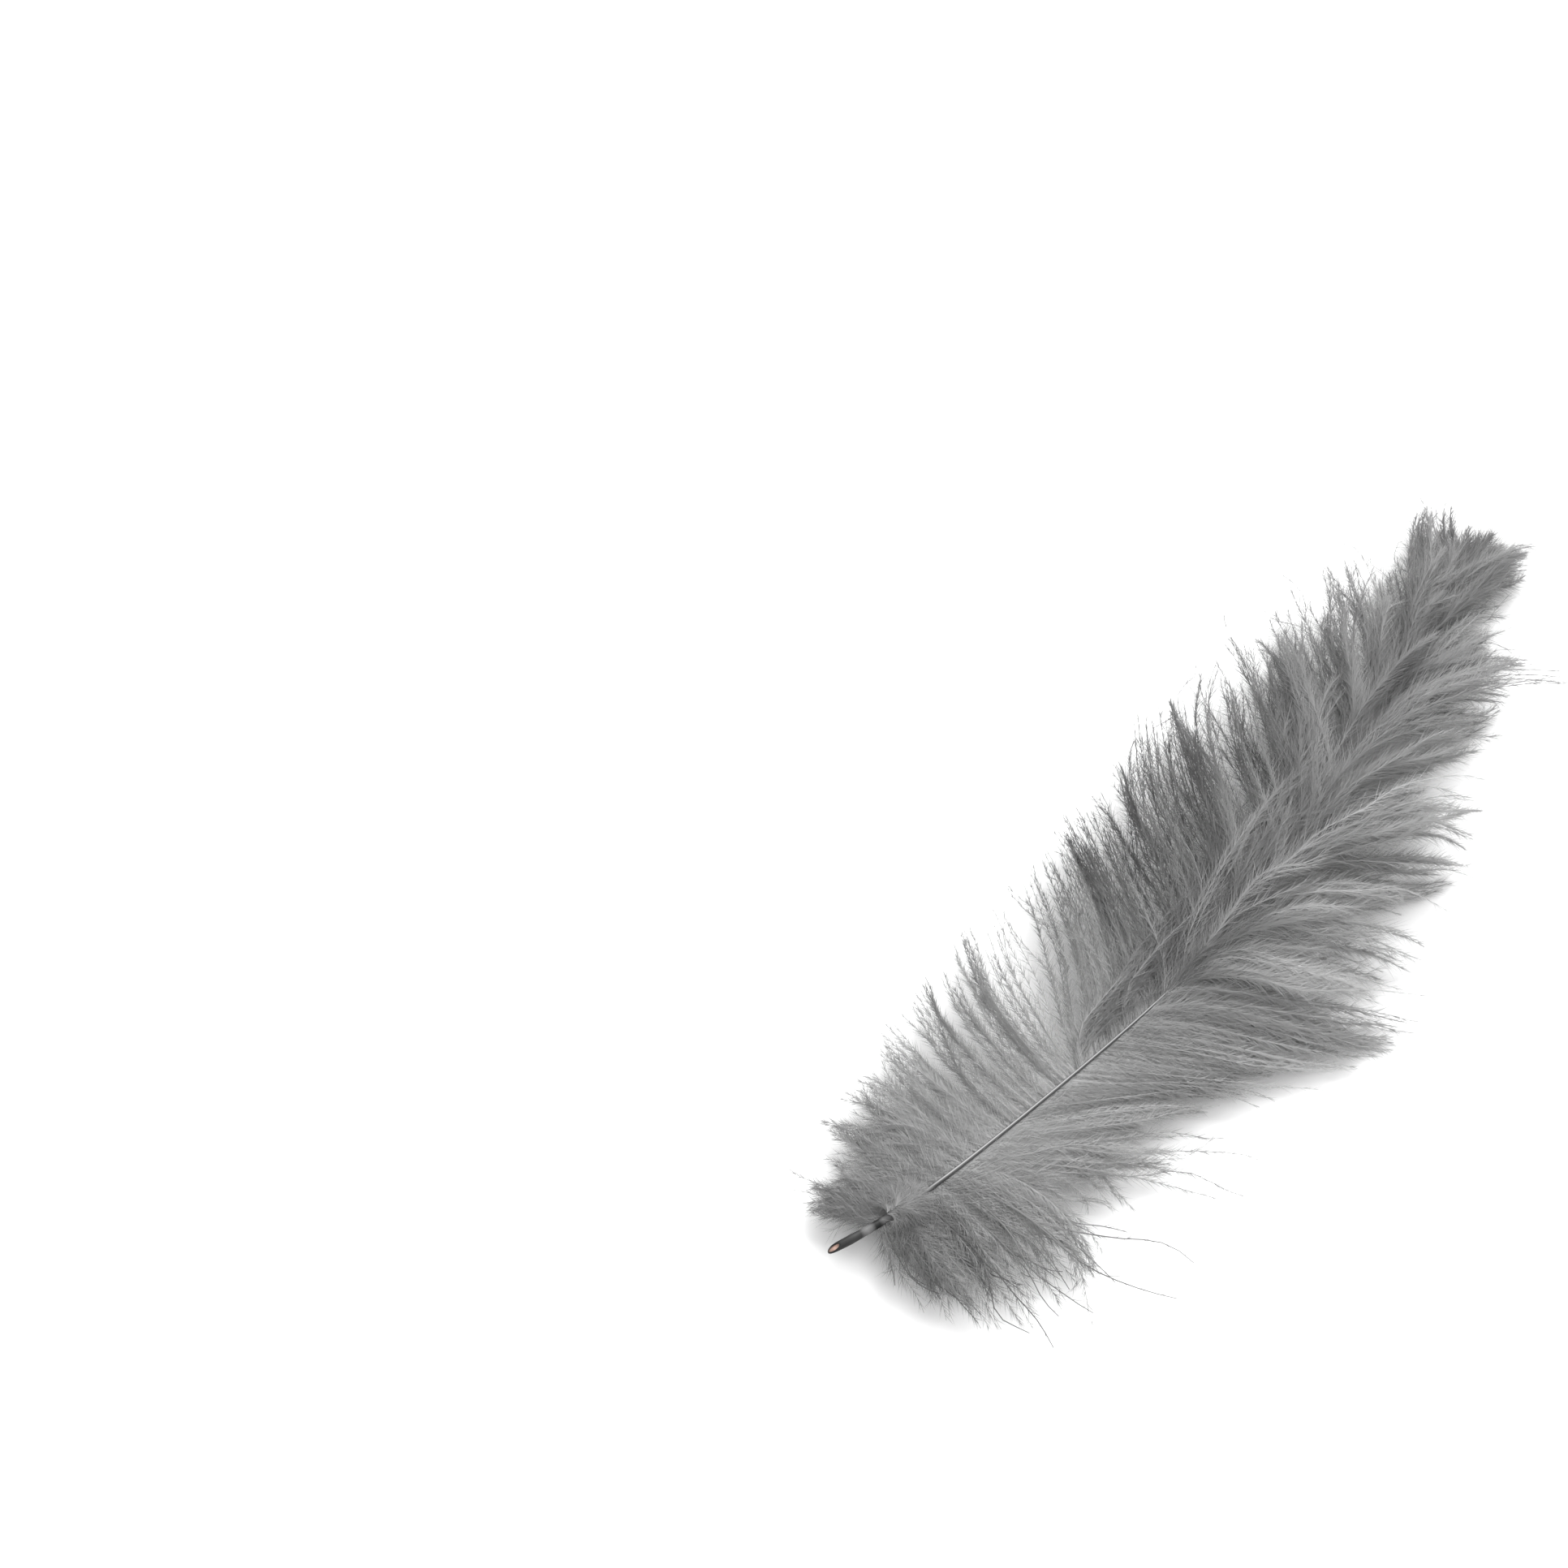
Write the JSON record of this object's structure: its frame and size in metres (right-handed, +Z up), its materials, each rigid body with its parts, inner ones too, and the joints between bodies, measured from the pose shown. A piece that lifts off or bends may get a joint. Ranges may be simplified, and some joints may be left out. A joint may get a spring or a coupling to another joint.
{
  "type": "ostrich feather",
  "caption": "Soft grey ostrich plume lying flat: a round quill, a bare lower shaft and long drooping fluffy barbs on both sides.",
  "frame": {"origin": "middle of the feather's outline, on the plane it lies on", "axes": "+Y from the cut quill end towards the tip, +Z up from the plane the feather lies on, +X to the right of the quill seen from above"},
  "size_m": [0.0692, 0.1849, 0.021],
  "materials": {
    "plume": "matte"
  },
  "bodies": {
    "root": {"feather": "plume"}
  },
  "joints": []
}
